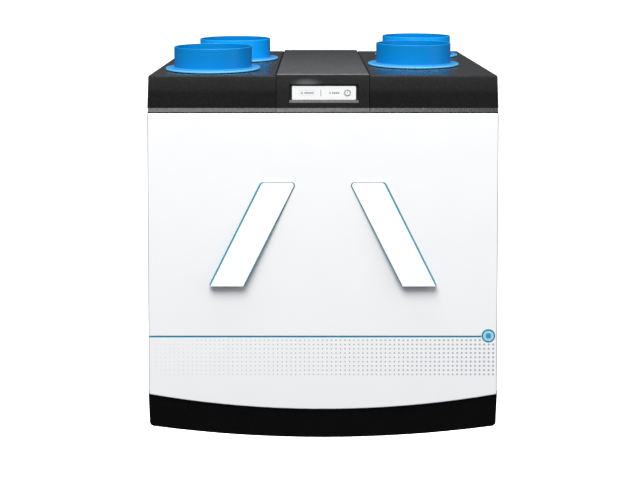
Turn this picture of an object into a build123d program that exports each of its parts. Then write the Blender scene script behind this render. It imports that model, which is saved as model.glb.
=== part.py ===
from build123d import *
import os
import math

# Wall-hung heat recovery unit. Millimetres, +Z up, +X to the right seen from
# the front, +Y towards the wall. The origin is under the middle of the unit,
# at the height of the drain stub's lower end.

# ---------------------------------------------------------------- driving sizes
PANEL_HALF_W = 338.2      # white front panel
CAP_HALF_TOP = 337.0      # foam cap, at its top edge
CAP_HALF_BOTTOM = 339.0   # foam cap, at its lower edge
LIP_HALF_W = 337.5        # lower lip of the cap
BODY_HALF_W = 335.0
WALL = 29.0               # foam side wall
INNER_HALF_W = BODY_HALF_W - WALL
BASE_HALF_W = 340.7
COVER_HALF_W = 89.5       # centre cover
CAP_INNER_X = COVER_HALF_W + 1.1   # inner side of a cap, clear of the centre cover

Y_WALL = 290.0            # wall plane
Y_BACK = 284.0            # back of the foam body
Y_CAVITY_BACK = 250.0     # back of the hollows in the foam
Y_CAP_BACK = 288.0
Y_PANEL = -274.0          # front face of the white panel
PANEL_T = 3.5
Y_CAP_FRONT = -266.0
Y_BASE_FRONT = -268.0
Y_BULK_FRONT = -262.0     # inner front bulkhead
Y_BULK_BACK = -236.0

Z_TOP = 723.0             # top plane of the side caps
Z_COVER = 726.0           # top of the centre cover
Z_FLANGE = 724.5          # underside of the spigot flanges
Z_RIM = 770.0             # top of the duct spigots
Z_CAP_BOTTOM = 660.0
Z_CASING_TOP = 652.3      # top of the casing behind the panel
Z_PANEL_EDGE = 650.5      # top edge of the panel itself
Z_PANEL_SIDE = 101.7      # lower edge of the panel at its sides
Z_PANEL_MID = 72.1        # and in the middle
Z_BASE_TOP = 112.0
Z_BASE_SIDE = 36.1
Z_BASE_MID = 12.9
SHELF_Z = (290, 311)      # shelves between inlet chambers (above) and fan chambers

# The ducts and fans are point-symmetric in plan about (0, SYMMETRY_Y).
SYMMETRY_Y = 11.0
OUTBOARD = (223.0, 157.0)  # outboard spigots: X, and Y from SYMMETRY_Y
INBOARD = (194.5, 66.0)    # inboard spigots
SPIGOTS = {
    "supply": (-OUTBOARD[0], SYMMETRY_Y - OUTBOARD[1]),
    "extract": (-INBOARD[0], SYMMETRY_Y + INBOARD[1]),
    "outdoor": (INBOARD[0], SYMMETRY_Y - INBOARD[1]),
    "exhaust": (OUTBOARD[0], SYMMETRY_Y + OUTBOARD[1]),
}
SPIGOT_R = 79.0           # fits inside 160 mm duct
SPIGOT_BORE_R = 76.4
FLANGE_R = 96.0

# Right-hand filter slot: centre (x, z) and unit direction (x, z) down its slope
SLOT_CENTRE = (135.0, 417.6)
SLOPE = (0.4519, -0.8921)
# Outlines (x, z): upper inner, upper outer, lower outer, lower inner corner
DRAWER_COVER = [(53.2, 516.0), (117.3, 516.0), (216.4, 319.1), (153.2, 319.1)]
DRAWER_FRONT = [(50.3, 516.9), (120.3, 516.9), (218.6, 319.5), (150.6, 319.5)]
CASSETTE_HALF_L = 94.0    # along the slope
CASSETTE_HALF_T = 25.0    # across it
CASSETTE_Y = (-266.0, 150.0)
CASSETTE_DEPTH = CASSETTE_Y[1] - CASSETTE_Y[0]
SLOT_HALF_L = CASSETTE_HALF_L + 3
SLOT_HALF_T = CASSETTE_HALF_T + 3

# Supply fan, its axis along Y
FAN_X, FAN_Z = -200.0, 200.0
FAN_Y0, FAN_Y1 = -200.0, -96.0
FAN_R = 86.0
FAN_WALL = 2.6
OUTLET_X = (FAN_X - FAN_R, FAN_X - 24)
MOTOR_SCREWS = [(FAN_X + 26 * math.cos(math.radians(a)), FAN_Z + 26 * math.sin(math.radians(a)))
                for a in (45, 135, 225, 315)]
IMPELLER_R = 68.0
ROTOR_R = 30.0

# Heat exchanger outline (x, z), clockwise from the upper right corner
CORE = [(30, 551), (140, 327), (140, 317), (30, 93),
        (-30, 93), (-140, 317), (-140, 327), (-30, 551)]
CORE_Y0, CORE_Y1 = -214.0, 164.0
CORE_END_T = 6
N_PLATES = 36

BYPASS_Y, BYPASS_Z = 213.0, 453.0   # axis of the bypass flap
DRAIN = (0.0, 40.0)                 # x, y
HANGER_X, HANGER_Z = (-220, -80, 80, 220), 636

# Trim line and badge on the panel
TRIM_Z = (214.2, 217.4)
BADGE = (321.0, 217.0)              # x, z

# Display and electronics
BUTTON_X, BUTTON_Z = 47.5, 689.2
PLATE_Y = (-264.6, -261.6)          # display plate, front and back
LENS_X, LENS_Z = (-46, -14), (684, 694)
BOARD_Z, BOARD_TOP = 669.0, 670.6
INLET_X, INLET_Z = (-50, -14), (676, 702)
SOCKETS_X = [4 + 13.5 * i for i in range(4)]
SOCKET_W = 11
SOCKET_Z = (680, 696)


# -------------------------------------------------------------------- helpers
def box(x0, x1, y0, y1, z0, z1):
    centre = Pos((x0 + x1) / 2, (y0 + y1) / 2, (z0 + z1) / 2)
    return centre * Box(abs(x1 - x0), abs(y1 - y0), abs(z1 - z0))


def rounded_box(x0, x1, y0, y1, z0, z1, radius, axis=Axis.Z):
    """Box with the edges along one axis rounded."""
    return fillet(box(x0, x1, y0, y1, z0, z1).edges().filter_by(axis), radius)


def cyl_z(x, y, z0, z1, radius):
    return Pos(x, y, (z0 + z1) / 2) * Cylinder(radius, z1 - z0)


def cyl_y(x, z, y0, y1, radius):
    return Pos(x, (y0 + y1) / 2, z) * Rot(90, 0, 0) * Cylinder(radius, abs(y1 - y0))


def cyl_x(y, z, x0, x1, radius):
    return Pos((x0 + x1) / 2, y, z) * Rot(0, 90, 0) * Cylinder(radius, abs(x1 - x0))


def drain_cyl(z0, z1, radius):
    return cyl_z(*DRAIN, z0, z1, radius)


def fan_cyl(y0, y1, radius):
    return cyl_y(FAN_X, FAN_Z, y0, y1, radius)


def prism_xz(points, y0, y1):
    """Polygon in X and Z, extruded from y0 to y1 (y0 < y1)."""
    outline = Polyline(*[(x, y0, z) for x, z in points], close=True)
    return extrude(make_face(outline), amount=y1 - y0, dir=(0, 1, 0))


def prism_yz(points, x0, x1):
    """Polygon in Y and Z, extruded from x0 to x1 (x0 < x1)."""
    outline = Polyline(*[(x0, y, z) for y, z in points], close=True)
    return extrude(make_face(outline), amount=x1 - x0, dir=(1, 0, 0))


def grow(points, distance):
    """Move each side of a convex polygon outwards by a distance."""
    count = len(points)
    centre_x = sum(p[0] for p in points) / count
    centre_z = sum(p[1] for p in points) / count
    sides = []                # a point on each moved side, and its direction
    for i in range(count):
        (x0, z0), (x1, z1) = points[i], points[(i + 1) % count]
        dx, dz = x1 - x0, z1 - z0
        length = math.hypot(dx, dz)
        normal_x, normal_z = dz / length, -dx / length
        if (x0 - centre_x) * normal_x + (z0 - centre_z) * normal_z < 0:
            normal_x, normal_z = -normal_x, -normal_z
        sides.append((x0 + normal_x * distance, z0 + normal_z * distance,
                      dx / length, dz / length))
    corners = []
    for i in range(count):
        x0, z0, dx0, dz0 = sides[i - 1]
        x1, z1, dx1, dz1 = sides[i]
        t = (dx1 * (z1 - z0) - dz1 * (x1 - x0)) / (dx1 * dz0 - dx0 * dz1)
        corners.append((x0 + dx0 * t, z0 + dz0 * t))
    return corners


SLOT = Plane(origin=(SLOT_CENTRE[0], 0, SLOT_CENTRE[1]), x_dir=(SLOPE[0], 0, SLOPE[1]),
             z_dir=(-SLOPE[1], 0, SLOPE[0])).location


def slant(shape):
    """From slot coordinates (X down the slope, Z outwards across it) to the right-hand slot."""
    return SLOT * shape


def mirror_x(shape):
    return mirror(shape, about=Plane.YZ)


def turn(shape):
    """Half a turn about the unit's vertical axis: supply side becomes exhaust side."""
    return Pos(0, SYMMETRY_Y, 0) * Rot(0, 0, 180) * Pos(0, -SYMMETRY_Y, 0) * shape


def arc_band(half_w, z_side, z_mid, z_top, y0, y1, corner, half_top=None):
    """Plate with a straight top and an arced lower edge, extruded in Y."""
    if half_top is None:
        half_top = half_w
    with BuildSketch(Plane.XZ) as outline:
        with BuildLine():
            ThreePointArc((-half_w, z_side), (0, z_mid), (half_w, z_side))
            Line((half_w, z_side), (half_top, z_top))
            Line((half_top, z_top), (-half_top, z_top))
            Line((-half_top, z_top), (-half_w, z_side))
        make_face()
        fillet([v for v in outline.vertices() if v.Z < (z_side + z_top) / 2], corner)
    # Plane.XZ faces -Y, so extruding by a negative amount goes towards +Y
    return Pos(0, y0, 0) * extrude(outline.sketch, amount=-(y1 - y0))


def group(shapes):
    """One compound of separate solids."""
    return Compound(children=[Solid(solid.wrapped) for s in shapes for solid in s.solids()])


def save(shape, name):
    export_step(shape, f"parts/{name}.step")


# ------------------------------------------------------------------ foam casing
def base_tray():
    base = arc_band(BASE_HALF_W - 2.9, Z_BASE_SIDE, Z_BASE_MID, Z_BASE_TOP,
                    Y_BASE_FRONT, Y_BACK, corner=9.0, half_top=BASE_HALF_W)
    front_low = [e for e in base.edges() if abs(e.center().Y - Y_BASE_FRONT) < 0.1
                 and e.center().Z < 100 and e.length > 400]
    base = fillet(front_low, 3.5)
    base -= box(-300, 300, Y_BULK_BACK, Y_CAVITY_BACK, 58, 130)
    # seat, passage and nut recess of the drain stub
    for z0, z1, radius in ((55.5, 60, 28.0), (10, 60, 18.2), (10, 28.5, 31.0)):
        base -= drain_cyl(z0, z1, radius)
    return base


def seal_ring(margin, z0, z1):
    """Rectangular ring with a middle bar, widened all round by a margin."""
    ring = box(-326 - margin, 326 + margin, -254 - margin, 272 + margin, z0, z1)
    ring -= box(-317 + margin, 317 - margin, -246 + margin, 260 - margin, z0 - 1, z1 + 1)
    return ring + box(-5 - margin, 5 + margin, -250, 264, z0, z1)


def cap_groove():
    return seal_ring(0.1, 648.3, Z_CASING_TOP + 1.0)


def cap_gasket():
    cable_gap = box(-14, 19, 166, 194, 570, 670)
    return seal_ring(0.0, 648.4, Z_CASING_TOP + 0.2) - cable_gap


def body_shell():
    shell = box(-BODY_HALF_W, BODY_HALF_W, Y_BULK_BACK, Y_BACK, Z_BASE_TOP, Z_CASING_TOP)
    shell = fillet([e for e in shell.edges().filter_by(Axis.Z) if e.center().Y > 200], 8.0)
    shell -= box(-INNER_HALF_W, INNER_HALF_W, Y_BULK_BACK - 1, Y_CAVITY_BACK, 100, 700)
    shelf = box(142, INNER_HALF_W, Y_BULK_BACK, Y_CAVITY_BACK, *SHELF_Z)
    shell += shelf
    shell += mirror_x(shelf)
    # divider from the exchanger's upper edge to the cap
    shell += box(-16, 16, Y_BULK_BACK, Y_CAVITY_BACK, 556, Z_CASING_TOP)
    # block behind the exchanger, with the bypass passage through it
    shell += box(-150, 150, 178, Y_CAVITY_BACK, SHELF_Z[0], 556)
    shell -= box(-54, 54, 186, 240, 280, 570)
    shell -= box(-67, 120, 184, 242, 430, 476)
    # riser and cable passages through the shelves
    for hole in (box(-293, -219, -206, -90, 280, 320), cyl_z(-262, -226, 280, 320, 7)):
        shell -= hole
        shell -= turn(hole)
    for x in HANGER_X:
        shell -= cyl_y(x, HANGER_Z, 262, Y_BACK + 1, 3.3)
    # cable notch in the divider, open on its right-hand side
    shell -= box(-12, 17, 168, 192, 575, 660)
    # cable hole to the bypass drive
    shell -= cyl_z(90, 214, 470, 560, 5)
    return shell - cap_groove()


def inner_bulkhead():
    bulkhead = box(-BODY_HALF_W, BODY_HALF_W, Y_BULK_FRONT, Y_BULK_BACK,
                   Z_BASE_TOP, Z_CASING_TOP)
    opening = Pos(0, -250, 0) * slant(Box(2 * SLOT_HALF_L, 400, 2 * SLOT_HALF_T))
    bulkhead -= opening
    bulkhead -= mirror_x(opening)
    return bulkhead - cap_groove()


def slot_gaskets():
    thickness = 4.0
    ring = slant(Box(2 * (SLOT_HALF_L + 5), thickness, 2 * (SLOT_HALF_T + 4))
                 - Box(2 * SLOT_HALF_L, 10, 2 * SLOT_HALF_T))
    ring = Pos(0, Y_BULK_FRONT - thickness / 2, 0) * ring
    return group([ring, mirror_x(ring)])


# --------------------------------------------------------------------- foam cap
def cap_lip(x0, x1):
    """Lower lip of a cap part: its front bevel flares out to the panel."""
    return prism_yz([
        (Y_CAP_BACK, Z_CASING_TOP + 0.2), (Y_CAP_BACK, Z_CAP_BOTTOM),
        (Y_CAP_FRONT - 2, Z_CAP_BOTTOM), (-272.6, Z_CASING_TOP + 0.4),
        (-272.6, Z_PANEL_EDGE + 0.2), (Y_BULK_FRONT - 0.2, Z_PANEL_EDGE + 0.2),
        (Y_BULK_FRONT - 0.2, Z_CASING_TOP + 0.2)], x0, x1)


def cap_block(x0_bottom, x0_top, x1, z_top):
    """Foam block with a little draft on its front and, if the x0 differ, its left side."""
    faces = []
    for x0, y_front, z in ((x0_bottom, Y_CAP_FRONT - 2, Z_CAP_BOTTOM),
                           (x0_top, Y_CAP_FRONT, z_top)):
        outline = Polyline((x0, y_front, z), (x1, y_front, z),
                           (x1, Y_CAP_BACK, z), (x0, Y_CAP_BACK, z), close=True)
        faces.append(make_face(outline))
    return loft(faces)


def round_top(shape, radius):
    return fillet(shape.faces().sort_by(Axis.Z)[-1].edges(), radius)


def top_cap(side):
    """Side cap: side is -1 for the left one, 1 for the right one."""
    cap = cap_block(-CAP_HALF_BOTTOM, -CAP_HALF_TOP, -CAP_INNER_X, Z_TOP)
    if side > 0:
        cap = mirror_x(cap)
    outer_edges = [e for e in cap.edges() if side * e.center().X > 300
                   and e.length < 80 and abs(e.center().Z - 690) < 8]
    cap = fillet(outer_edges, 2.5)
    cap = round_top(cap, 3.0)
    cap += cap_lip(*sorted((side * LIP_HALF_W, side * CAP_INNER_X)))
    for x, y in SPIGOTS.values():
        if side * x > 0:
            cap -= cyl_z(x, y, 640, 740, SPIGOT_R + 1.0)
    return cap


def centre_cover():
    cover = cap_block(-COVER_HALF_W, -COVER_HALF_W, COVER_HALF_W, Z_COVER)
    cover = round_top(cover, 3.0)
    cover += cap_lip(-COVER_HALF_W, COVER_HALF_W)
    # electronics bay, open below
    cover -= box(-82, 82, -248, 196, 640, 717)
    # connector recess in the back
    cover -= rounded_box(-64, 64, 222, 300, 668, 712, 8, Axis.Y)
    # display recess with a bevelled sill
    cover -= prism_yz([(-272, 663.4), (PLATE_Y[0], 675.3), (PLATE_Y[1], 675.3),
                       (PLATE_Y[1], 704.6), (-272, 707.6)], -64.6, 68.6)
    # window from the display recess into the bay
    cover -= box(-52, 58, -263, -240, 680, 698)
    # passages for the mains inlet and the bus sockets
    cover -= rounded_box(INLET_X[0] - 0.5, INLET_X[1] + 0.5, 190, 230,
                         INLET_Z[0] - 0.5, INLET_Z[1] + 0.5, 3, Axis.Y)
    for x in SOCKETS_X:
        cover -= box(x - 0.4, x + SOCKET_W + 0.4, 190, 230,
                     SOCKET_Z[0] - 0.4, SOCKET_Z[1] + 0.4)
    return cover


# ------------------------------------------------------------------ front panel
def slanted_block(points, y0, y1, inner_radius, outer_radius):
    """Slanted outline with its two upper corners rounded, extruded in Y."""
    block = prism_xz(points, y0, y1)
    for corner, radius in ((0, inner_radius), (-1, outer_radius)):
        upper = [e for e in block.edges().filter_by(Axis.Y) if e.center().Z > 500]
        block = fillet([sorted(upper, key=lambda e: e.center().X)[corner]], radius)
    return block


def front_panel():
    panel = arc_band(PANEL_HALF_W, Z_PANEL_SIDE, Z_PANEL_MID, Z_PANEL_EDGE,
                     Y_PANEL, Y_PANEL + PANEL_T, corner=3.5)
    panel = fillet([e for e in panel.edges() if abs(e.center().Y - Y_PANEL) < 0.05
                    and e.center().Z < Z_PANEL_EDGE - 1], 2.4)
    opening = slanted_block(grow(DRAWER_FRONT, 0.4), -300, -240, 6.6, 7.9)
    panel -= opening
    panel -= mirror_x(opening)
    # shallow seats for the trim line and the badge
    seat_y = (Y_PANEL - 1, Y_PANEL + 0.6)
    panel -= box(-339, 307.6, *seat_y, TRIM_Z[0] - 0.1, TRIM_Z[1] + 0.1)
    return panel - cyl_y(*BADGE, *seat_y, 13.2)


def panel_edge_frame():
    """Rim behind the panel, and an arch open below that joins it to the bulkhead."""
    frame = arc_band(PANEL_HALF_W + 0.5, Z_PANEL_SIDE - 0.3, Z_PANEL_MID - 0.3, Z_PANEL_EDGE,
                     Y_PANEL + PANEL_T, Y_BULK_FRONT - 6.2, corner=2.0)
    frame -= arc_band(PANEL_HALF_W - 12, Z_PANEL_SIDE + 13, Z_PANEL_MID + 13,
                      Z_PANEL_EDGE - 12, Y_PANEL - 2, Y_BULK_FRONT + 5, corner=2.0)
    arch = box(-PANEL_HALF_W - 0.5, PANEL_HALF_W + 0.5, Y_BULK_FRONT - 6.3, Y_BULK_FRONT,
               Z_BASE_TOP + 0.4, Z_PANEL_EDGE)
    arch -= box(-PANEL_HALF_W + 12, PANEL_HALF_W - 12, Y_BULK_FRONT - 8, Y_BULK_FRONT + 2,
                Z_BASE_TOP - 5, Z_PANEL_EDGE - 12)
    return frame + arch


def trim_line():
    return box(-337.0, 307.3, Y_PANEL - 0.1, Y_PANEL + 0.5, *TRIM_Z)


def badge():
    """Plain round badge at the end of the line: a ring with a disc inside it."""
    ring = (cyl_y(*BADGE, Y_PANEL - 0.2, Y_PANEL + 0.5, 13.0)
            - cyl_y(*BADGE, Y_PANEL - 2, Y_PANEL + 2, 10.5))
    return group([ring, cyl_y(*BADGE, Y_PANEL - 0.1, Y_PANEL + 0.5, 10.4)])


# ------------------------------------------------------ display and electronics
def display_plate():
    plate = rounded_box(-59.6, 63.8, *PLATE_Y, 675.7, 702.0, 2.0, Axis.Y)
    plate -= cyl_y(BUTTON_X, BUTTON_Z, -270, -260, 6.7)
    return plate - box(*LENS_X, -266, -263.2, *LENS_Z)


def display_lens():
    return box(LENS_X[0] + 0.2, LENS_X[1] - 0.2, -264.7, -263.3,
               LENS_Z[0] + 0.2, LENS_Z[1] - 0.2)


def push_button():
    return (cyl_y(BUTTON_X, BUTTON_Z, -265.4, -261.4, 6.3)
            + cyl_y(BUTTON_X, BUTTON_Z, -261.4, -256.0, 4.0))


def board_tray():
    z0, z1 = 661.0, 664.0
    tray = box(-78, 78, -246, 190, z0, z1)
    tray += box(-78, -75.5, -246, 190, z1, 672) + box(75.5, 78, -246, 190, z1, 672)
    for x in (-66, 66):
        for y in (-200, -30, 160):
            tray += cyl_z(x, y, z1, BOARD_Z, 3.5)
    # cable holes
    tray -= cyl_z(-60, -228, 655, 670, 8)
    tray -= cyl_z(0, 180, 655, 670, 12)
    # upright holding the button switch
    return tray + box(-56, 60, -248.0, -246, z0, 700)


def control_board():
    return box(-72, 72, -215, 172, BOARD_Z, BOARD_TOP)


def board_components():
    switch = box(BUTTON_X - 6, BUTTON_X + 6, -254.6, -248.1, 683, 695)
    parts = [switch, rounded_box(-60, -10, -60, 10, BOARD_TOP, 704, 3)]
    # blocks: x0, x1, y0, y1, top
    for *plan, top in ((-55, -20, 40, 90, 690), (20, 60, -150, -100, 682), (0, 26, -60, -34, 674),
                       (38, 66, 60, 140, 684), (-66, -40, -200, -120, 680)):
        parts.append(box(*plan, BOARD_TOP, top))
    parts += [cyl_z(20 + 14 * i, 10, BOARD_TOP, 694, 6) for i in range(4)]
    parts += [cyl_z(-10 + 8 * i, 110, BOARD_TOP, 680, 3) for i in range(5)]
    return group(parts)


def mains_inlet():
    (x0, x1), (z0, z1) = INLET_X, INLET_Z
    inlet = (rounded_box(x0, x1, 197, 228, z0, z1, 3, Axis.Y)
             - rounded_box(x0 + 4, x1 - 4, 210, 240, z0 + 4, z1 - 4, 2, Axis.Y))
    inlet += rounded_box(x0 - 4, x1 + 4, 222, 224.5, z0 - 3, z1 + 3, 4, Axis.Y)
    for x in (-40, -32, -24):
        inlet += cyl_y(x, 689, 209, 224, 1.8)
    # keep the flange clear of the recess's inner wall, above and below the body
    return inlet - (box(-60, 0, 196, 222.02, 600, z0) + box(-60, 0, 196, 222.02, z1, 760))


def bus_sockets():
    return group([box(x, x + SOCKET_W, 197, 226, *SOCKET_Z)
                  - box(x + 1.5, x + SOCKET_W - 1.5, 208, 240, SOCKET_Z[0] + 2, SOCKET_Z[1] - 2)
                  for x in SOCKETS_X])


# ----------------------------------------------------------------- duct spigots
def spigot(x, y):
    flange_top = 727.6
    body = (cyl_z(x, y, Z_FLANGE, flange_top, FLANGE_R)
            + cyl_z(x, y, 661.5, Z_RIM, SPIGOT_R))
    body = body - cyl_z(x, y, 650, 790, SPIGOT_BORE_R)
    flange_edge = [e for e in body.edges().filter_by(GeomType.CIRCLE)
                   if abs(e.center().Z - flange_top) < 0.01 and abs(e.radius - FLANGE_R) < 0.1]
    body = fillet(flange_edge, 1.4)
    rim = [e for e in body.edges().filter_by(GeomType.CIRCLE)
           if abs(e.center().Z - Z_RIM) < 0.01]
    return fillet(rim, 1.1)


def spigot_gaskets():
    return group([cyl_z(x, y, Z_TOP, Z_FLANGE, 93.2) - cyl_z(x, y, 700, 730, 80.5)
                  for x, y in SPIGOTS.values()])


# --------------------------------------------------------------- heat exchanger
def exchanger_plates():
    plates = []
    for i in range(N_PLATES):
        y = CORE_Y0 + 4 + i * (CORE_Y1 - CORE_Y0 - 10) / (N_PLATES - 1)
        plates.append(prism_xz(grow(CORE, -3.0), y, y + 2.0))
    return group(plates)


def exchanger_frame():
    frame = (prism_xz(CORE, CORE_Y0 - CORE_END_T, CORE_Y0)
             + prism_xz(CORE, CORE_Y1, CORE_Y1 + CORE_END_T))
    # bars between the end plates: x0, x1, z0, z1
    for x0, x1, z0, z1 in ((-29, 29, 548.4, 551), (-29, 29, 93, 95.6),
                           (137.4, 140, 317, 327), (-140, -137.4, 317, 327)):
        frame += box(x0, x1, CORE_Y0 - 1, CORE_Y1 + 1, z0, z1)
    return frame


def exchanger_seals():
    """One strip above the core and one at each side, resting on the shelf level."""
    return group([box(x0, x1, CORE_Y0 - CORE_END_T, CORE_Y1 + CORE_END_T, z0, z1)
                  for x0, x1, z0, z1 in ((-15, 15, 551.2, 555.8), (140.2, 147, 311.1, 318.5),
                                         (-147, -140.2, 311.1, 318.5))])


# --------------------------------------------------------------- filter drawers
def filter_rails():
    """Channel-shaped rails at the upper and lower end of each slot."""
    y_mid, length = -36.0, 380.0
    rails = []
    for end in (-1, 1):
        rail = Pos(end * (CASSETTE_HALF_L + 3.2), y_mid, 0) * Box(4.0, length, 56.0)
        for face in (-1, 1):
            place = Pos(end * (CASSETTE_HALF_L - 1.0), y_mid, face * 27.4)
            rail += place * Box(12.0, length, 2.4)
        rails.append(slant(rail))
    return group(rails + [mirror_x(rail) for rail in rails])


def drawer_frame():
    """Right-hand cassette frame with the drawer's front on it."""
    frame = Box(2 * CASSETTE_HALF_L, CASSETTE_DEPTH, 2 * CASSETTE_HALF_T)
    frame = frame - Box(2 * CASSETTE_HALF_L - 12, CASSETTE_DEPTH - 14, 80)
    # retaining bars across both open faces
    for face in (-1, 1):
        z = face * (CASSETTE_HALF_T - 1.5)
        for i in (-1, 0, 1):
            frame += Pos(0, i * CASSETTE_DEPTH / 4, z) * Box(2 * CASSETTE_HALF_L - 6, 5, 3)
        frame += Pos(0, 0, z) * Box(6, CASSETTE_DEPTH - 8, 3)
    frame = slant(Pos(0, sum(CASSETTE_Y) / 2, 0) * frame)
    front = slanted_block(DRAWER_FRONT, -292.0, -266.0, 6.2, 7.5)
    # side profile (y, z): the front gets deeper towards its lower end
    front = front & prism_yz([(-265.9, 300), (-265.9, 530), (-273.4, 530), (-273.4, 516),
                              (-287.6, 320), (-287.6, 300)], 0, 260)
    # finger hollow under the lower end
    front -= prism_xz([(158.5, 312), (211, 312), (197.5, 341), (150.6, 341)], -285.4, -272.6)
    frame += front
    return frame


def filter_mat():
    mat = Box(2 * CASSETTE_HALF_L - 14, CASSETTE_DEPTH - 16, 2 * CASSETTE_HALF_T - 8)
    return slant(Pos(0, sum(CASSETTE_Y) / 2, 0) * mat)


def drawer_cover():
    """Thin slat lying on the drawer's sloping front."""
    cover = slanted_block(DRAWER_COVER, -292.0, -273.0, 5.0, 6.5)
    return cover & prism_yz([(-273.45, 530), (-273.45, 516), (-287.65, 320), (-287.65, 300),
                             (-290.0, 300), (-290.0, 320), (-275.8, 516), (-275.8, 530)], 0, 260)


# ------------------------------------------------------- fans, on the supply side
def scroll():
    housing = (fan_cyl(FAN_Y0, FAN_Y1, FAN_R)
               + box(*OUTLET_X, FAN_Y0, FAN_Y1, FAN_Z, 287))
    bore = (fan_cyl(FAN_Y0 + 3, FAN_Y1 - 3, FAN_R - FAN_WALL)
            + box(OUTLET_X[0] + FAN_WALL, OUTLET_X[1] - FAN_WALL,
                  FAN_Y0 + 3, FAN_Y1 - 3, FAN_Z, 300))
    housing = housing - bore
    housing -= fan_cyl(FAN_Y1 - 10, FAN_Y1 + 5, 56.0)     # inlet opening
    housing -= fan_cyl(FAN_Y0 - 5, FAN_Y0 + 10, 20.0)     # motor opening
    for x, z in MOTOR_SCREWS:
        housing -= cyl_y(x, z, FAN_Y0 - 5, FAN_Y0 + 6, 2.1)
    return housing


def inlet_ring():
    bore_r = 52.5
    ring = fan_cyl(FAN_Y1, FAN_Y1 + 4, 70.0) + fan_cyl(FAN_Y1 - 18, FAN_Y1, 55.5)
    ring -= fan_cyl(FAN_Y1 - 30, FAN_Y1 + 10, bore_r)
    mouth = [e for e in ring.edges().filter_by(GeomType.CIRCLE)
             if abs(e.center().Y - (FAN_Y1 + 4)) < 0.01 and abs(e.radius - bore_r) < 0.1]
    return fillet(mouth, 1.4)


def motor():
    body = (fan_cyl(FAN_Y0 + 3, FAN_Y0 + 7, 33.0) + fan_cyl(FAN_Y0 + 7, FAN_Y0 + 30, 19.0)
            + fan_cyl(FAN_Y0 - 8, FAN_Y0 + 3, 19.0))
    body -= fan_cyl(FAN_Y0 - 2, FAN_Y0 + 40, 4.05)
    for x, z in MOTOR_SCREWS:
        body -= cyl_y(x, z, FAN_Y0 - 5, FAN_Y0 + 10, 1.7)
    return body


def motor_screws():
    screws = [cyl_y(x, z, FAN_Y0 - 2.4, FAN_Y0, 3.8) + cyl_y(x, z, FAN_Y0, FAN_Y0 + 6.8, 1.6)
              for x, z in MOTOR_SCREWS]
    return group(screws + [turn(screw) for screw in screws])


def rotor():
    """Rotor cup on its shaft."""
    cup = fan_cyl(FAN_Y0 + 10, FAN_Y0 + 46, ROTOR_R) - fan_cyl(FAN_Y0 + 8, FAN_Y0 + 42, 26.0)
    return fan_cyl(FAN_Y0 + 1.0, FAN_Y0 + 44, 4.0) + cup


def impeller():
    """Back disc, hub round the rotor, front ring and backward-curved blades."""
    n_blades, root_r, tip_r = 11, 42, IMPELLER_R - 1
    hub_bore = fan_cyl(FAN_Y0 + 20, FAN_Y0 + 60, ROTOR_R)
    wheel = fan_cyl(FAN_Y0 + 30, FAN_Y0 + 33, IMPELLER_R) - hub_bore
    wheel += fan_cyl(FAN_Y0 + 30, FAN_Y0 + 50, 33.0) - hub_bore
    wheel += (fan_cyl(FAN_Y1 - 24, FAN_Y1 - 21, IMPELLER_R)
              - fan_cyl(FAN_Y1 - 60, FAN_Y1, 57.5))
    for i in range(n_blades):
        start = math.radians(i * 360 / n_blades)
        curve = []            # radius, angle
        for j in range(6):
            t = j / 5
            curve.append((root_r + (tip_r - root_r) * t, start - math.radians(34 * t ** 1.2)))
        # the other side of the blade is 1.6 mm round the circle
        other = [(r, a + 1.6 / r) for r, a in reversed(curve)]
        outline = [(FAN_X + r * math.cos(a), FAN_Z + r * math.sin(a)) for r, a in curve + other]
        wheel += prism_xz(outline, FAN_Y0 + 32, FAN_Y1 - 22)
    return wheel


def riser():
    """Duct from the fan outlet to the outboard spigot, rectangular below, round above."""
    x0, x1, y0, y1 = OUTLET_X[0] - 3, OUTLET_X[1] + 3, FAN_Y0 - 3, FAN_Y1 + 3
    z_rect, z_round, radius = 560, 650, 76.0
    x_duct, y_duct = SPIGOTS["supply"]

    def transition(inset):
        low = (Pos((x0 + x1) / 2, (y0 + y1) / 2, z_rect)
               * RectangleRounded(x1 - x0 - 2 * inset, y1 - y0 - 2 * inset, 6))
        high = Pos(x_duct, y_duct, z_round) * Circle(radius - inset)
        return loft([low, high])

    lower = (box(x0, x1, y0, y1, 287.2, z_rect)
             - box(x0 + FAN_WALL, x1 - FAN_WALL, y0 + FAN_WALL, y1 - FAN_WALL, 200, 600))
    middle = transition(0) - transition(FAN_WALL)
    upper = (cyl_z(x_duct, y_duct, z_round, 659.5, radius)
             - cyl_z(x_duct, y_duct, 600, 700, radius - FAN_WALL))
    return lower + middle + upper


# ------------------------------------------------------------------------ bypass
def bypass_frame():
    frame = box(-66, 66, 185, 241, 440, 466) - box(-52, 52, 190, 236, 430, 480)
    return frame - cyl_x(BYPASS_Y, BYPASS_Z, -70, 70, 4.05)


def bypass_flap():
    blade = box(-51, 51, BYPASS_Y - 22, BYPASS_Y + 22, BYPASS_Z - 1.5, BYPASS_Z + 1.5)
    return blade + cyl_x(BYPASS_Y, BYPASS_Z, -64, 78, 4.0)


def bypass_actuator():
    return (rounded_box(68, 114, 190, 236, 434, 472, 3)
            - cyl_x(BYPASS_Y, BYPASS_Z, 60, 84, 4.4))


# ---------------------------------------------------------------------- drainage
def condensate_pan():
    pan = (rounded_box(-296, 296, -232, 246, 60, 88, 10)
           - rounded_box(-293, 293, -229, 243, 63, 120, 8))
    pan -= drain_cyl(50, 70, 13.0)
    # two supports under the exchanger
    for y in (-150, 120):
        pan += box(-24, 24, y - 4, y + 4, 62, 92.9)
    return pan


def drain_stub():
    stub = drain_cyl(56, 60, 26) + drain_cyl(18.5, 56, 17.5) + drain_cyl(0, 18.5, 16.0)
    return stub - drain_cyl(-1, 61, 13.0)


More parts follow.
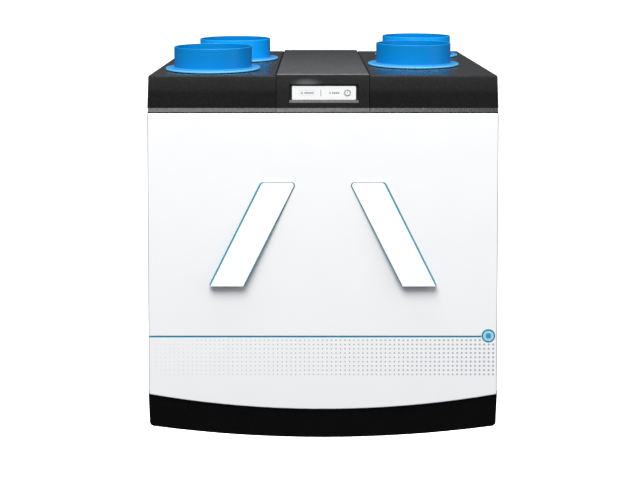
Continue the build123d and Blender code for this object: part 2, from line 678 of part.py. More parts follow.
def drain_nut():
    nut = Pos(*DRAIN, 19.2) * extrude(RegularPolygon(28, 6), amount=8.5)
    return nut - drain_cyl(10, 40, 17.8)


# ------------------------------------------------------------------ wall fixing
def wall_bracket():
    rail = (box(-240, 240, 288.4, Y_WALL, 566, 600) + box(-240, 240, 286.0, Y_WALL, 598.4, 600)
            + box(-240, 240, 286.0, 287.5, 598.4, 613.9))
    for x in (-200, 200):
        rail -= cyl_y(x, 580, 280, 300, 4.3)
    return rail


def hanger_plate():
    plate = (box(-260, 260, Y_BACK, 285.5, 614, 648) + box(-260, 260, Y_BACK, 289.8, 614, 615.5)
             + box(-260, 260, 288.3, 289.8, 602.5, 615.5))
    for x in HANGER_X:
        plate -= cyl_y(x, HANGER_Z, 280, 287, 3.3)
    return plate


def hanger_screws():
    return group([cyl_y(x, HANGER_Z, 285.5, 288.2, 6.0) + cyl_y(x, HANGER_Z, 264, 285.5, 3.0)
                  for x in HANGER_X])


def wall_spacers():
    spacers = []
    for x in (-230, 230):
        disc = cyl_y(x, 190, Y_BACK, Y_WALL, 18)
        wall_edge = disc.edges().filter_by(GeomType.CIRCLE).sort_by(Axis.Y)[-1:]
        spacers.append(fillet(wall_edge, 1.0))
    return group(spacers)


# ---------------------------------------------------------------- sensors, cables
def temperature_sensors():
    # x, y, z of the tip, z of the upper end
    return group([cyl_z(x, y, z, top, 3.0) + Pos(x, y, z) * Sphere(4.5)
                  for x, y, z, top in ((-150, 100, 600, 651), (150, -90, 600, 651),
                                       (-250, 60, 262, 289.5), (250, -40, 262, 289.5))])


def wire(radius, points):
    path = FilletPolyline(*points, radius=10)
    profile = Plane(origin=path @ 0, z_dir=path % 0) * Circle(radius)
    return sweep(profile, path=path)


def wiring_loom():
    """Cables from the board to the supply fan, the bypass drive and the exhaust fan."""
    return group([
        wire(3.0, [(-60, -228, 666), (-60, -228, 630), (-262, -226, 630),
                   (-262, -226, 215), (-212, -216, 205)]),
        wire(3.0, [(-5, 180, 667), (-5, 180, 600), (90, 214, 600), (90, 214, 473)]),
        wire(2.8, [(5, 180, 667), (5, 180, 582), (110, 243, 582), (262, 246.5, 582),
                   (262, 246.5, 215), (212, 240, 205)])])


# ----------------------------------------------------------------- write the parts
os.makedirs("parts", exist_ok=True)

for piece in (base_tray, body_shell, inner_bulkhead, cap_gasket, slot_gaskets, centre_cover,
              front_panel, panel_edge_frame, trim_line, badge, display_plate, display_lens,
              push_button, board_tray, control_board, board_components, mains_inlet,
              bus_sockets, spigot_gaskets, exchanger_plates, exchanger_frame, exchanger_seals,
              filter_rails, motor_screws, bypass_frame, bypass_flap, bypass_actuator,
              condensate_pan, drain_stub, drain_nut, wall_bracket, hanger_plate,
              hanger_screws, wall_spacers, temperature_sensors, wiring_loom):
    save(piece(), piece.__name__)

save(top_cap(-1), "top_cap_left")
save(top_cap(1), "top_cap_right")

for name, (x, y) in SPIGOTS.items():
    save(spigot(x, y), f"spigot_{name}")

for piece, name in ((drawer_frame, "drawer_{}_frame"), (filter_mat, "filter_{}"),
                    (drawer_cover, "drawer_{}_cover")):
    right = piece()
    save(right, name.format("right"))
    save(mirror_x(right), name.format("left"))

for piece in (scroll, inlet_ring, motor, rotor, impeller, riser):
    supply = piece()
    save(supply, f"supply_{piece.__name__}")
    save(turn(supply), f"exhaust_{piece.__name__}")
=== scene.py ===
import bpy, bmesh, math, random
from mathutils import Vector, Matrix


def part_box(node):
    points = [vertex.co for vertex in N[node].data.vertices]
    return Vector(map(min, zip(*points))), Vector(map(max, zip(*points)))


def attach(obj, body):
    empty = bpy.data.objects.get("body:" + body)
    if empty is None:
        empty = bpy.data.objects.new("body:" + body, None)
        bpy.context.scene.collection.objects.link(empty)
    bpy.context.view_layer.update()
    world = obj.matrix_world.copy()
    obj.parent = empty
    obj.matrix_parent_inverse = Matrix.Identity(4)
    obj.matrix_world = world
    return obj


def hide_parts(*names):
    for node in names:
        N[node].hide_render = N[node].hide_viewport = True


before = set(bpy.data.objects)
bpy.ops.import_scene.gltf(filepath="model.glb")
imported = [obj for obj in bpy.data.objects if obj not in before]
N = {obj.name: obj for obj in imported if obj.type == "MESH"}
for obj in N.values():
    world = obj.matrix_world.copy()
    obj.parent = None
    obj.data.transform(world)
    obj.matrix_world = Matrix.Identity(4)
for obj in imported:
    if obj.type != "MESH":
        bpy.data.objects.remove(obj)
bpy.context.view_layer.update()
S = bpy.context.scene
random.seed(7)


# --------------------------------------------------------------- node helpers
def new_mat(name):
    m = bpy.data.materials.new(name)
    m.use_nodes = True
    nt = m.node_tree
    return m, nt, nt.nodes["Principled BSDF"]


def add(nt, kind, **kw):
    n = nt.nodes.new(kind)
    for k, v in kw.items():
        if k in n.inputs:
            n.inputs[k].default_value = v
        else:
            setattr(n, k, v)
    return n


def ramp(nt, src, stops, interp="LINEAR"):
    r = nt.nodes.new("ShaderNodeValToRGB")
    r.color_ramp.interpolation = interp
    el = r.color_ramp.elements
    while len(el) < len(stops):
        el.new(0.5)
    for e, (p, c) in zip(el, stops):
        e.position = p
        e.color = (c, c, c, 1) if isinstance(c, (int, float)) else (*c, 1)
    nt.links.new(src, r.inputs[0])
    return r.outputs[0]


def coords(nt, scale=(1, 1, 1)):
    t = nt.nodes.new("ShaderNodeTexCoord")
    mp = nt.nodes.new("ShaderNodeMapping")
    mp.inputs["Scale"].default_value = scale
    nt.links.new(t.outputs["Object"], mp.inputs[0])
    return mp.outputs[0]


def math_node(nt, op, a, b=None):
    n = nt.nodes.new("ShaderNodeMath")
    n.operation = op
    for i, v in enumerate((a, b)):
        if v is None:
            continue
        if isinstance(v, (int, float)):
            n.inputs[i].default_value = v
        else:
            nt.links.new(v, n.inputs[i])
    return n.outputs[0]


def mix(nt, fac, a, b):
    n = nt.nodes.new("ShaderNodeMix")
    n.data_type = "RGBA"
    for i, v in ((0, fac), (6, a), (7, b)):
        if hasattr(v, "is_output"):
            nt.links.new(v, n.inputs[i])
        else:
            n.inputs[i].default_value = v if i == 0 else (*v, 1)
    return n.outputs[2]


def bump(nt, height, strength, distance, normal=None):
    b = nt.nodes.new("ShaderNodeBump")
    b.inputs["Strength"].default_value = strength
    b.inputs["Distance"].default_value = distance
    nt.links.new(height, b.inputs["Height"])
    if normal is not None:
        nt.links.new(normal, b.inputs["Normal"])
    return b.outputs[0]


def paint(node, *mats):
    me = N[node].data
    me.materials.clear()
    for m in mats:
        me.materials.append(m)


# ------------------------------------------------------------------- materials
def foam(name, base, rough=0.42, spec=0.3, vary=0.22, bead=230.0, painted_top_light=None, edge=1.0, gloss=1.0, sheen=None, spot=False):
    """Moulded bead foam: flattened beads of slightly different tone, with fine seams between them.
    lift is painted light and shade on upward faces, a gain on their colour at the back and at the front of the unit;
    edge the gloss of the rounded edge between the front and the top, gloss that of upward faces. sheen is a painted
    highlight on the front by height, spot a painted soft reflection above the display."""
    m, nt, p = new_mat(name)
    c = coords(nt)
    v = add(nt, "ShaderNodeTexVoronoi", feature="F1", Scale=bead, Randomness=0.85)
    e = add(nt, "ShaderNodeTexVoronoi", feature="DISTANCE_TO_EDGE", Scale=bead, Randomness=0.85)
    n = add(nt, "ShaderNodeTexNoise", Scale=11.0, Detail=4.0)
    g = add(nt, "ShaderNodeTexNoise", Scale=1100.0, Detail=1.0)
    for t in (v, e, n, g):
        nt.links.new(c, t.inputs["Vector"])
    sep = nt.nodes.new("ShaderNodeSeparateColor")
    nt.links.new(v.outputs["Color"], sep.inputs[0])
    tone = mix(nt, sep.outputs[0], [x * (1 - vary) for x in base], [x * (1 + vary) for x in base])
    seam = ramp(nt, e.outputs["Distance"], [(0.0, 0.0), (0.07, 1.0)])
    col = mix(nt, seam, [x * 0.55 for x in base], tone)
    broad = ramp(nt, n.outputs["Fac"], [(0.3, 0.86), (0.7, 1.14)])
    mul = nt.nodes.new("ShaderNodeMix"); mul.data_type = "RGBA"; mul.blend_type = "MULTIPLY"
    mul.inputs[0].default_value = 1.0
    nt.links.new(col, mul.inputs[6]); nt.links.new(broad, mul.inputs[7])
    out = mul.outputs[2]
    # painted light and shade on upward faces: their colour scaled by depth, from the back gain to the front gain
    if painted_top_light:
        xyz = nt.nodes.new("ShaderNodeSeparateXYZ")
        nt.links.new(c, xyz.inputs[0])
        k = nt.nodes.new("ShaderNodeMapRange")
        for i, val in enumerate((0.28, -0.27, painted_top_light[0], painted_top_light[1])):
            k.inputs[i + 1].default_value = val
        nt.links.new(xyz.outputs[1], k.inputs[0])
        geo = nt.nodes.new("ShaderNodeNewGeometry")
        nz = nt.nodes.new("ShaderNodeSeparateXYZ")
        nt.links.new(geo.outputs["True Normal"], nz.inputs[0])
        up = ramp(nt, nz.outputs[2], [(0.75, 0.0), (0.95, 1.0)])
        gain = math_node(nt, "ADD", math_node(nt, "MULTIPLY", math_node(nt, "SUBTRACT", k.outputs[0], 1.0), up), 1.0)
        m2 = nt.nodes.new("ShaderNodeMix"); m2.data_type = "RGBA"; m2.blend_type = "MULTIPLY"; m2.clamp_result = False
        m2.inputs[0].default_value = 1.0
        nt.links.new(out, m2.inputs[6]); nt.links.new(gain, m2.inputs[7])
        out = m2.outputs[2]
    # painted sheen on front faces: colour added by height
    if sheen:
        a = nt.nodes.new("ShaderNodeSeparateXYZ")
        nt.links.new(c, a.inputs[0])
        high = ramp(nt, a.outputs[2], sheen)
        # painted soft reflection: a round patch of added colour above the display
        if spot:
            dx = math_node(nt, "DIVIDE", math_node(nt, "ADD", a.outputs[0], 0.0314), 0.034)
            dz = math_node(nt, "DIVIDE", math_node(nt, "SUBTRACT", a.outputs[2], 0.7078), 0.0115)
            d2 = math_node(nt, "ADD", math_node(nt, "MULTIPLY", dx, dx), math_node(nt, "MULTIPLY", dz, dz))
            high = math_node(nt, "ADD", high, ramp(nt, d2, [(0.0, 0.095), (0.2, 0.062), (0.5, 0.020), (1.0, 0.0)], "B_SPLINE"))
        g3 = nt.nodes.new("ShaderNodeNewGeometry")
        s3 = nt.nodes.new("ShaderNodeSeparateXYZ")
        nt.links.new(g3.outputs["True Normal"], s3.inputs[0])
        ahead = ramp(nt, math_node(nt, "MULTIPLY", s3.outputs[1], -1.0), [(0.8, 0.0), (0.98, 1.0)])
        extra = math_node(nt, "MULTIPLY", high, ahead)
        m3 = nt.nodes.new("ShaderNodeMix"); m3.data_type = "RGBA"; m3.blend_type = "ADD"; m3.clamp_result = False
        m3.inputs[0].default_value = 1.0
        nt.links.new(out, m3.inputs[6]); nt.links.new(extra, m3.inputs[7])
        out = m3.outputs[2]
    nt.links.new(out, p.inputs["Base Color"])
    r = math_node(nt, "ADD", math_node(nt, "MULTIPLY", sep.outputs[1], 0.10), rough - 0.05)
    nt.links.new(r, p.inputs["Roughness"])
    dome = ramp(nt, e.outputs["Distance"], [(0.0, 0.0), (0.12, 0.7), (0.5, 1.0)])
    h = math_node(nt, "ADD", dome, math_node(nt, "MULTIPLY", g.outputs["Fac"], 0.3))
    nt.links.new(bump(nt, h, 0.22, 0.0003), p.inputs["Normal"])
    p.inputs["Specular IOR Level"].default_value = spec
    if edge != 1.0 or gloss != 1.0:
        g2 = nt.nodes.new("ShaderNodeNewGeometry")
        s2 = nt.nodes.new("ShaderNodeSeparateXYZ")
        nt.links.new(g2.outputs["Normal"], s2.inputs[0])
        band = ramp(nt, s2.outputs[2], [(0.10, 0.0), (0.30, 1.0), (0.93, 1.0), (0.985, 0.0)])
        o2 = nt.nodes.new("ShaderNodeSeparateXYZ")
        nt.links.new(c, o2.inputs[0])
        band = math_node(nt, "MULTIPLY", band, ramp(nt, o2.outputs[2], [(0.661, 0.55 if edge < 1.0 else 0.0), (0.664, 0.0), (0.695, 0.0), (0.700, 1.0)]))
        top = ramp(nt, s2.outputs[2], [(0.94, 0.0), (0.985, 1.0)])
        k2 = math_node(nt, "ADD", math_node(nt, "MULTIPLY", band, spec * (edge - 1.0)), math_node(nt, "MULTIPLY", top, spec * (gloss - 1.0)))
        nt.links.new(math_node(nt, "ADD", k2, spec), p.inputs["Specular IOR Level"])
    return m


def moulded(name, color, rough=0.35, grain=1400.0, amount=0.12, vary=0.05, spec=0.5, coat=0.0, painted_edge_shade=None, painted_lip_highlight=None, axis=None):
    """Moulded plastic or paint: fine grain, and a slow drift in tone and gloss. rim is painted shade that darkens the
    rounded side edges, lip is the colour of a painted highlight on the edge of a flange at the level of the lid. axis
    is the depth of a rear collar's axis: its outside ahead of that gets painted light, a shade brighter."""
    m, nt, p = new_mat(name)
    c = coords(nt)
    g = add(nt, "ShaderNodeTexNoise", Scale=grain, Detail=2.0)
    w = add(nt, "ShaderNodeTexNoise", Scale=14.0, Detail=3.0)
    for t in (g, w):
        nt.links.new(c, t.inputs["Vector"])
    f = ramp(nt, w.outputs["Fac"], [(0.3, 0.0), (0.7, 1.0)])
    tone = mix(nt, f, [x * (1 - vary) for x in color], [min(1, x * (1 + vary)) for x in color])
    # painted shade: the rounded side edges, where the normal turns sideways, darkened
    if painted_edge_shade:
        geo = nt.nodes.new("ShaderNodeNewGeometry")
        nx = nt.nodes.new("ShaderNodeSeparateXYZ")
        nt.links.new(geo.outputs["True Normal"], nx.inputs[0])
        side = ramp(nt, math_node(nt, "ABSOLUTE", nx.outputs[0]), [(0.10, 0.0), (0.40, 1.0), (0.95, 1.0), (0.99, 0.0)])
        tone = mix(nt, side, tone, mix(nt, side, color, [x * painted_edge_shade for x in color]))
    if painted_lip_highlight:
        geo = nt.nodes.new("ShaderNodeNewGeometry")
        nz = nt.nodes.new("ShaderNodeSeparateXYZ")
        nt.links.new(geo.outputs["True Normal"], nz.inputs[0])
        pos = nt.nodes.new("ShaderNodeSeparateXYZ")
        nt.links.new(c, pos.inputs[0])
        # painted light: the outside of a rear collar ahead of its axis made a shade brighter
        if axis is not None:
            ahead = ramp(nt, math_node(nt, "MULTIPLY", nz.outputs[1], -1.0), [(0.05, 0.0), (0.45, 1.0)])
            outer = math_node(nt, "LESS_THAN", pos.outputs[1], axis)
            tone = mix(nt, math_node(nt, "MULTIPLY", ahead, outer), tone, [min(1.0, x * 1.52) for x in color])
        # painted highlight on the flange tops at the level of the lid
        low = ramp(nt, pos.outputs[2], [(0.7280, 1.0), (0.7284, 0.0)])
        flat = ramp(nt, nz.outputs[2], [(0.975, 1.0), (0.99, 0.25)])
        tone = mix(nt, math_node(nt, "MULTIPLY", low, flat), tone, painted_lip_highlight)
    nt.links.new(tone, p.inputs["Base Color"])
    r = math_node(nt, "ADD", math_node(nt, "MULTIPLY", w.outputs["Fac"], 0.1), rough - 0.05)
    nt.links.new(r, p.inputs["Roughness"])
    nt.links.new(bump(nt, g.outputs["Fac"], amount, 0.0002), p.inputs["Normal"])
    p.inputs["Specular IOR Level"].default_value = spec
    p.inputs["Coat Weight"].default_value = coat
    return m


def metal(name, color, rough, scale=(40, 40, 900), spangle=0.0):
    m, nt, p = new_mat(name)
    c = coords(nt, scale)
    g = add(nt, "ShaderNodeTexNoise", Scale=3.0, Detail=4.0)
    nt.links.new(c, g.inputs["Vector"])
    v = add(nt, "ShaderNodeTexVoronoi", Scale=120.0)
    nt.links.new(coords(nt), v.inputs["Vector"])
    sep = nt.nodes.new("ShaderNodeSeparateColor")
    nt.links.new(v.outputs["Color"], sep.inputs[0])
    f = math_node(nt, "MULTIPLY", sep.outputs[0], spangle)
    nt.links.new(mix(nt, f, color, [min(1.0, x * 1.5) for x in color]), p.inputs["Base Color"])
    p.inputs["Metallic"].default_value = 1.0
    r = math_node(nt, "ADD", math_node(nt, "MULTIPLY", g.outputs["Fac"], 0.2), rough - 0.1)
    nt.links.new(r, p.inputs["Roughness"])
    nt.links.new(bump(nt, g.outputs["Fac"], 0.06, 0.0002), p.inputs["Normal"])
    return m


# caps: painted shade on the tops, darker towards the back, and a painted sheen on the front by height
M_CAP = foam("foam_cap", (0.0062, 0.0058, 0.0060), 0.25, 0.38, painted_top_light=(0.2, 1.1), edge=0.25, gloss=1.4,
             sheen=[(0.688, 0.0), (0.699, 0.0080), (0.712, 0.0100), (0.722, 0.0175)])
M_BASE = foam("foam_base", (0.0020, 0.0020, 0.0021), 0.50, 0.09)
M_BODY = foam("foam_body", (0.0150, 0.0147, 0.0151), 0.40, 0.36)
# centre cover: painted light on the top, brighter towards the front, a painted sheen on the front by height and a
# painted soft reflection above the display
M_MODULE = foam("foam_module", (0.0085, 0.0085, 0.0087), 0.33, 0.30, painted_top_light=(1.0, 7.2), edge=1.5,
                sheen=[(0.690, 0.0), (0.712, 0.0075), (0.735, 0.0085), (0.745, 0.014)], spot=True)
# panel: painted shade on its rounded side edges
M_WHITE = moulded("white_paint", (0.85, 0.85, 0.856), 0.42, 2200, 0.04, 0.006, 0.30, painted_edge_shade=0.42)
M_SLAT = moulded("white_gloss", (0.865, 0.872, 0.872), 0.30, 2200, 0.03, 0.004, 0.4)
M_PLATE = moulded("plate_white", (0.80, 0.80, 0.80), 0.30, 2200, 0.03, 0.004, 0.4)
# front collars: a painted highlight on the flange tops
M_BLUE = moulded("blue_plastic", (0.0, 0.200, 0.53), 0.34, 1500, 0.10, 0.04, 0.22, painted_lip_highlight=(0.13, 0.47, 0.80))
M_NAVY = moulded("blue_slat_body", (0.035, 0.24, 0.31), 0.42, 1500, 0.10, 0.04, 0.25)
M_LINE = moulded("blue_line", (0.002, 0.205, 0.34), 0.45, 1500, 0.05, 0.02, 0.3)
M_FILL = moulded("badge_fill", (0.33, 0.66, 0.82), 0.4, 1500, 0.05, 0.02, 0.3)
M_DISC = moulded("badge_disc", (0.06, 0.26, 0.44), 0.4, 1500, 0.05, 0.02, 0.3)
M_SEAL = moulded("seal_rubber", (0.035, 0.035, 0.037), 0.75, 900, 0.4, 0.15, 0.25)
M_LENS = moulded("display_lens", (0.79, 0.80, 0.805), 0.14, 2500, 0.01, 0.01, 0.4, 0.15)
M_MARK = moulded("grey_print", (0.12, 0.122, 0.128), 0.5, 1800, 0.05, 0.03)
M_DARK = moulded("dark_plastic", (0.022, 0.022, 0.024), 0.5, 1100, 0.3, 0.1)
M_BOARD = moulded("solder_mask", (0.01, 0.14, 0.05), 0.3, 1200, 0.2, 0.15, 0.5, 0.3)
M_EXCH = moulded("exchanger_sheet", (0.62, 0.66, 0.68), 0.3, 700, 0.2, 0.04)
M_FAN = moulded("fan_plastic", (0.04, 0.04, 0.043), 0.42, 1200, 0.25, 0.08)
M_DRAIN = moulded("drain_plastic", (0.09, 0.093, 0.097), 0.4, 1200, 0.25, 0.06)
M_CABLE = moulded("cable_sheath", (0.012, 0.012, 0.012), 0.45, 1200, 0.1, 0.05)
M_FILTER = moulded("filter_fibre", (0.72, 0.74, 0.73), 0.9, 700, 0.8, 0.08, 0.1)
M_ZINC = metal("zinc_steel", (0.52, 0.54, 0.56), 0.42, (40, 40, 40), 0.35)
M_MOTOR = metal("motor_metal", (0.6, 0.6, 0.61), 0.34)

for n in ("top_cap_left", "top_cap_right"): paint(n, M_CAP)
for n in ("body_shell", "inner_bulkhead"): paint(n, M_BODY)
paint("base_tray", M_BASE)
paint("centre_cover", M_MODULE)
for n in ("front_panel", "panel_edge_frame"): paint(n, M_WHITE)
for n in ("drawer_left_cover", "drawer_right_cover"): paint(n, M_SLAT)
for n in ("display_plate", "push_button"): paint(n, M_PLATE)
for n in ("drawer_left_frame", "drawer_right_frame"): paint(n, M_NAVY)
for k in ("supply", "outdoor"): paint("spigot_" + k, M_BLUE)
# rear collars: copies of the blue with painted light on their outside ahead of the axis, and the painted flange
# highlight
for k, y in (("extract", 0.0770), ("exhaust", 0.1680)):
    paint("spigot_" + k, moulded("blue_plastic_" + k, (0.0, 0.200, 0.53), 0.34, 1500, 0.10, 0.04, 0.22, painted_lip_highlight=(0.13, 0.47, 0.80), axis=y))
paint("trim_line", M_LINE)
paint("badge", M_LINE, M_FILL)
b_lo, b_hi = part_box("badge")
b_c = (b_lo + b_hi) / 2
for f in N["badge"].data.polygons:
    f.material_index = 1 if math.hypot(f.center.x - b_c.x, f.center.z - b_c.z) < 0.00996 else 0
for n in ("cap_gasket", "slot_gaskets", "spigot_gaskets", "exchanger_seals", "wall_spacers"): paint(n, M_SEAL)
paint("display_lens", M_LENS)
paint("control_board", M_BOARD)
for n in ("board_components", "bus_sockets", "mains_inlet", "bypass_actuator", "board_tray"): paint(n, M_DARK)
for n in ("exchanger_plates", "exchanger_frame"): paint(n, M_EXCH)
for n in ("supply_scroll", "exhaust_scroll", "supply_inlet_ring", "exhaust_inlet_ring", "supply_impeller", "exhaust_impeller",
          "bypass_frame", "bypass_flap", "supply_riser", "exhaust_riser", "filter_rails"): paint(n, M_FAN)
for n in ("supply_motor", "exhaust_motor", "supply_rotor", "exhaust_rotor"): paint(n, M_MOTOR)
for n in ("filter_left", "filter_right"): paint(n, M_FILTER)
for n in ("condensate_pan", "drain_stub", "drain_nut"): paint(n, M_DRAIN)
for n in ("wall_bracket", "hanger_plate", "hanger_screws", "motor_screws", "temperature_sensors"): paint(n, M_ZINC)
paint("wiring_loom", M_CABLE)


# ------------------------------------------------------------------ new pieces
def piece(name, bm, mat, body):
    me = bpy.data.meshes.new(name)
    bm.normal_update()
    bm.to_mesh(me); bm.free()
    o = bpy.data.objects.new(name, me)
    S.collection.objects.link(o)
    me.materials.append(mat)
    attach(o, body)
    return o


def disc(bm, x, z, y0, y1, r, seg=12):
    """Short closed cylinder along Y."""
    a = [bm.verts.new((x + r * math.cos(2 * math.pi * i / seg), y0, z + r * math.sin(2 * math.pi * i / seg))) for i in range(seg)]
    b = [bm.verts.new((v.co.x, y1, v.co.z)) for v in a]
    bm.faces.new(a)
    bm.faces.new(list(reversed(b)))
    for i in range(seg):
        j = (i + 1) % seg
        bm.faces.new((a[j], a[i], b[i], b[j]))


def bar(bm, x0, x1, y0, y1, z0, z1):
    v = [bm.verts.new((x, y, z)) for x in (x0, x1) for y in (y0, y1) for z in (z0, z1)]
    for f in ((0, 1, 3, 2), (4, 6, 7, 5), (0, 4, 5, 1), (2, 3, 7, 6), (0, 2, 6, 4), (1, 5, 7, 3)):
        bm.faces.new([v[i] for i in f])


mm = 0.001
p_lo, p_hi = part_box("front_panel")
YF = p_lo.y

# printed dots: nine rows of dots that shrink to the left
bm = bmesh.new()
PX, PZ = 8.71, 8.41
for row in range(9):
    z = 208.6 - row * PZ
    for col in range(78):
        x = 330.4 - col * PX
        if x < -331 or (row == 0 and x > 318):
            continue
        t = (x + 331) / 661.0
        r = 0.62 + 1.50 * t ** 1.15
        if row < 3 and t < 0.12:
            r *= 0.55 + 0.15 * row
        if row == 8:
            r *= 0.93
        disc(bm, x * mm, z * mm, YF - 0.00012, YF + 0.0003, r * mm, 12)
bmesh.ops.recalc_face_normals(bm, faces=bm.faces)
DOT = moulded("dot_print", (0.40, 0.40, 0.43), 0.5, 1800, 0.03, 0.02)
piece("dot_print", bm, DOT, "housing")

# plain disc in the middle of the badge
bm = bmesh.new()
disc(bm, b_c.x, b_c.z, b_lo.y - 0.00005, b_lo.y + 0.0004, 0.0054, 40)
bmesh.ops.recalc_face_normals(bm, faces=bm.faces)
piece("badge_disc", bm, M_DISC, "housing")

# pleated media in place of the plain filter blocks
def pleats(side, node, body):
    lo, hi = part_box(node)
    c = (lo + hi) / 2
    d = Vector((side * 0.4519, 0, -0.8921))
    n = Vector((side * 0.8921, 0, 0.4519))
    L, H, half_s, t = (hi.y - lo.y) - 0.002, 0.0385, 0.0866, 0.0005
    pitch = L / 30
    line = []
    for i in range(61):
        y = -L / 2 + i * pitch / 2
        sgn = 1 if i % 2 else -1
        if i in (0, 60):
            line.append((y, sgn * H / 2))
        else:
            for k, drop in ((-1, 0.0016), (0, 0.0), (1, 0.0016)):
                line.append((y + k * 0.0009, sgn * (H / 2 - drop)))
    bm = bmesh.new()
    rings = []
    for i, (y, h) in enumerate(line):
        a, b = line[max(0, i - 1)], line[min(len(line) - 1, i + 1)]
        ty, th = b[0] - a[0], b[1] - a[1]
        q = math.hypot(ty, th)
        oy, oh = -th / q * t, ty / q * t
        ring = []
        for sy, ss in ((1, -1), (1, 1), (-1, 1), (-1, -1)):
            p = c + Vector((0, y + sy * oy, 0)) + n * (h + sy * oh) + d * (ss * half_s)
            ring.append(bm.verts.new(p))
        rings.append(ring)
    for r0, r1 in zip(rings, rings[1:]):
        for k in range(4):
            bm.faces.new((r0[k], r0[(k + 1) % 4], r1[(k + 1) % 4], r1[k]))
    bm.faces.new(rings[0][::-1])
    bm.faces.new(rings[-1])
    # spacer beads of glue across the pleats
    for s in (-0.05, 0.0, 0.05):
        for sg in (-1, 1):
            o = c + d * s + n * (sg * (H / 2 + 0.0004))
            vs = []
            for ey in (-L / 2, L / 2):
                for es in (-0.0012, 0.0012):
                    for en in (-0.0005, 0.0005):
                        vs.append(bm.verts.new(o + Vector((0, ey, 0)) + d * es + n * en))
            for f in ((0, 1, 3, 2), (4, 6, 7, 5), (0, 4, 5, 1), (2, 3, 7, 6), (0, 2, 6, 4), (1, 5, 7, 3)):
                bm.faces.new([vs[i] for i in f])
    bmesh.ops.recalc_face_normals(bm, faces=bm.faces)
    o = piece("pleats_" + body.split("_")[1], bm, M_FILTER, body)
    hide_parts(node)
    return o


pleats(-1, "filter_left", "drawer_left")
pleats(1, "filter_right", "drawer_right")

# marks on the display plate: a level bar, a divider and a ring round the button; no lettering
pl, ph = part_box("display_plate")
yd = pl.y
zc = (pl.z + ph.z) / 2


def ring_mesh(bm, x, z, y0, y1, r0, r1, seg=40):
    cols = []
    for i in range(seg):
        a = 2 * math.pi * i / seg
        cols.append([bm.verts.new((x + r * math.cos(a), y, z + r * math.sin(a))) for r, y in ((r0, y0), (r1, y0), (r1, y1), (r0, y1))])
    for i in range(seg):
        p, q = cols[i], cols[(i + 1) % seg]
        for k in range(4):
            bm.faces.new((p[k], p[(k + 1) % 4], q[(k + 1) % 4], q[k]))


bm = bmesh.new()
ll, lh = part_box("display_lens")
yl = ll.y
ring_mesh(bm, -0.0405, zc, yl - 0.00012, yl + 0.0001, 0.0011, 0.0019, 24)
for i in range(5):
    bar(bm, -0.0355 + i * 0.0037, -0.0355 + i * 0.0037 + 0.0027, yl - 0.00012, yl + 0.0001, zc - 0.0013, zc + 0.0013)
bar(bm, -0.0045, -0.0034, yd - 0.00012, yd + 0.0002, zc - 0.0062, zc + 0.0062)
ring_mesh(bm, 0.0135, zc, yd - 0.00012, yd + 0.0002, 0.0009, 0.0016, 24)
for i in range(4):
    bar(bm, 0.0178 + i * 0.0037, 0.0178 + i * 0.0037 + 0.0026, yd - 0.00012, yd + 0.0002, zc - 0.0013, zc + 0.0013)
bmesh.ops.recalc_face_normals(bm, faces=bm.faces)
piece("display_marks", bm, M_MARK, "housing")
bl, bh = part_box("push_button")
bx, bz = (bl.x + bh.x) / 2, (bl.z + bh.z) / 2


bm = bmesh.new()
ring_mesh(bm, bx, bz, bl.y - 0.00012, bl.y + 0.0002, 0.0047, 0.0059)
bar(bm, bx - 0.0005, bx + 0.0005, bl.y - 0.00012, bl.y + 0.0002, bz - 0.0006, bz + 0.0030)
bmesh.ops.recalc_face_normals(bm, faces=bm.faces)
piece("button_mark", bm, M_MARK, "button")

# floor, light, camera
KEY_ELEV, KEY_W, TOP_W = 52, 243.0, 16.0
# brightness from straight below, through the horizon, to straight above: in front of the unit and behind it
WORLD_FRONT = (0.12, 0.24, 0.42, 0.8)
WORLD_BACK = (0.10, 0.09, 0.115, 0.8)


def stage_plane():
    bm = bmesh.new()
    fz = -0.9
    prof = [(-9.0, fz)] + [(2.6 + 1.6 * math.sin(a), fz + 1.6 - 1.6 * math.cos(a)) for a in [i * math.pi / 2 / 16 for i in range(17)]] + [(4.2, 9.0)]
    rows = []
    for x in (-9.0, 9.0):
        rows.append([bm.verts.new((x, y, z)) for y, z in prof])
    for i in range(len(prof) - 1):
        bm.faces.new((rows[0][i], rows[1][i], rows[1][i + 1], rows[0][i + 1]))
    me = bpy.data.meshes.new("backdrop")
    bm.to_mesh(me); bm.free()
    for f in me.polygons:
        f.use_smooth = True
    o = bpy.data.objects.new("backdrop", me)
    S.collection.objects.link(o)
    m, nt, p = new_mat("backdrop")
    p.inputs["Base Color"].default_value = (0.92, 0.92, 0.92, 1)
    p.inputs["Roughness"].default_value = 1.0
    p.inputs["Specular IOR Level"].default_value = 0.0
    lp = nt.nodes.new("ShaderNodeLightPath")
    p.inputs["Emission Color"].default_value = (1, 1, 1, 1)
    nt.links.new(math_node(nt, "MULTIPLY", lp.outputs["Is Camera Ray"], 0.85), p.inputs["Emission Strength"])
    o.visible_glossy = False
    o.visible_diffuse = False
    o.visible_shadow = False
    me.materials.append(m)
    return o


stage_plane()


def area(name, loc, target, size, power, col=(1, 1, 1)):
    l = bpy.data.lights.new(name, "AREA")
    l.shape = "RECTANGLE"
    l.size, l.size_y = size
    l.energy = power
    l.color = col
    o = bpy.data.objects.new(name, l)
    S.collection.objects.link(o)
    o.location = loc
    o.rotation_euler = (Vector(target) - Vector(loc)).to_track_quat("-Z", "Y").to_euler()
    return o


T = (0.0, -0.27, 0.42)


def lamp(name, elev, azim, dist, size, power, color=(1, 1, 1)):
    """Area light seen from T at an elevation, and at an azimuth left (-) or right (+) of the front."""
    e, a = math.radians(elev), math.radians(azim)
    loc = (T[0] + dist * math.cos(e) * math.sin(a), T[1] - dist * math.cos(e) * math.cos(a), T[2] + dist * math.sin(e))
    o = area(name, loc, T, size, power)
    o.data.color = color
    return o


lamp("key", KEY_ELEV, -12, 4.4, (2.9, 2.2), KEY_W, (1.0, 0.992, 0.975))
lamp("overhead", 84, 0, 2.4, (1.6, 0.8), TOP_W)
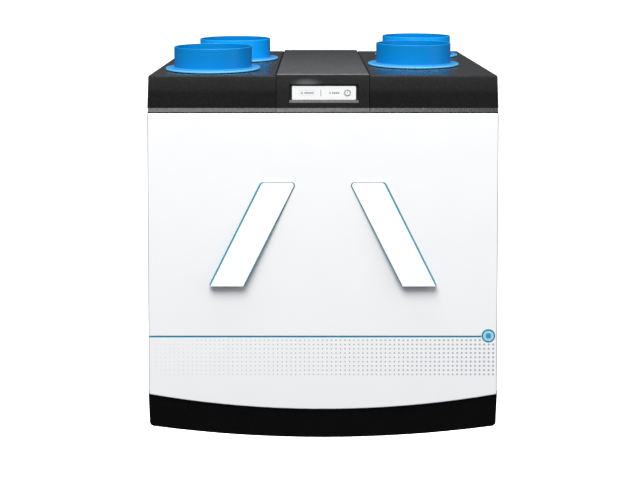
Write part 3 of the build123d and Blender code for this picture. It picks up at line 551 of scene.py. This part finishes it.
# a low lamp for the back, under the level of the lid, and a soft one above the rear edge
lamp("back", -14, 180, 2.6, (1.8, 0.9), 32.0)
lamp("rear", 58, 180, 2.6, (1.4, 1.0), 12.0)
lamp("right_fill", 20, 68, 3.0, (1.4, 1.4), 13.0)
w = bpy.data.worlds.new("studio")
w.use_nodes = True
wt = w.node_tree
bg = wt.nodes["Background"]
tc = wt.nodes.new("ShaderNodeTexCoord")
sx = wt.nodes.new("ShaderNodeSeparateXYZ")
wt.links.new(tc.outputs["Generated"], sx.inputs[0])
half = wt.nodes.new("ShaderNodeMapRange")
half.inputs[1].default_value, half.inputs[2].default_value = -1.0, 1.0
wt.links.new(sx.outputs[2], half.inputs[0])
skies = [ramp(wt, half.outputs[0], [(0.0, q[0]), (0.47, q[1]), (0.60, q[2]), (1.0, q[3])]) for q in (WORLD_FRONT, WORLD_BACK)]
fb = wt.nodes.new("ShaderNodeMapRange")
fb.inputs[1].default_value, fb.inputs[2].default_value = -0.15, 0.25
wt.links.new(sx.outputs[1], fb.inputs[0])
sky = mix(wt, fb.outputs[0], *skies)
tint = wt.nodes.new("ShaderNodeMix"); tint.data_type = "RGBA"; tint.blend_type = "MULTIPLY"
tint.inputs[0].default_value = 1.0
tint.inputs[7].default_value = (0.955, 0.985, 1.05, 1)
wt.links.new(sky, tint.inputs[6])
sky = tint.outputs[2]
lp = wt.nodes.new("ShaderNodeLightPath")
mx = wt.nodes.new("ShaderNodeMix")
mx.data_type = "RGBA"
wt.links.new(lp.outputs["Is Camera Ray"], mx.inputs[0])
wt.links.new(sky, mx.inputs[6])
mx.inputs[7].default_value = (1, 1, 1, 1)
wt.links.new(mx.outputs[2], bg.inputs[0])
bg.inputs[1].default_value = 1.0
S.world = w
S.view_settings.view_transform = "Standard"

cam = bpy.data.cameras.new("camera")
co = bpy.data.objects.new("camera", cam)
S.collection.objects.link(co)
S.camera = co
F_PX, CX, CY, PITCH = 1024.1, 313.0, 4.7, 2.286
cam.sensor_width = 36.0
cam.lens = F_PX / 640 * 36.0
CAM = (-0.0191, -2.2323, 0.9378)
co.location = CAM
co.rotation_euler = (math.radians(90 - PITCH), 0, 0)
cam.clip_start, cam.clip_end = 0.05, 50
# the lens shift holds only at the photo's place; from any other place the camera looks straight
SHIFT = (-(CX - 320) / 640, (CY - 240) / 640)
for i, prop in enumerate(("shift_x", "shift_y")):
    d = cam.driver_add(prop).driver
    d.type = "SCRIPTED"
    for name, axis, in (("cx", "LOC_X"), ("cy", "LOC_Y"), ("cz", "LOC_Z")):
        v = d.variables.new()
        v.name = name
        v.type = "TRANSFORMS"
        v.targets[0].id = co
        v.targets[0].transform_type = axis
        v.targets[0].transform_space = "WORLD_SPACE"
    d.expression = "%.6f if abs(cx - %.5f) + abs(cy - %.5f) + abs(cz - %.5f) < 0.002 else 0.0" % (SHIFT[i], *CAM)
bpy.context.view_layer.update()
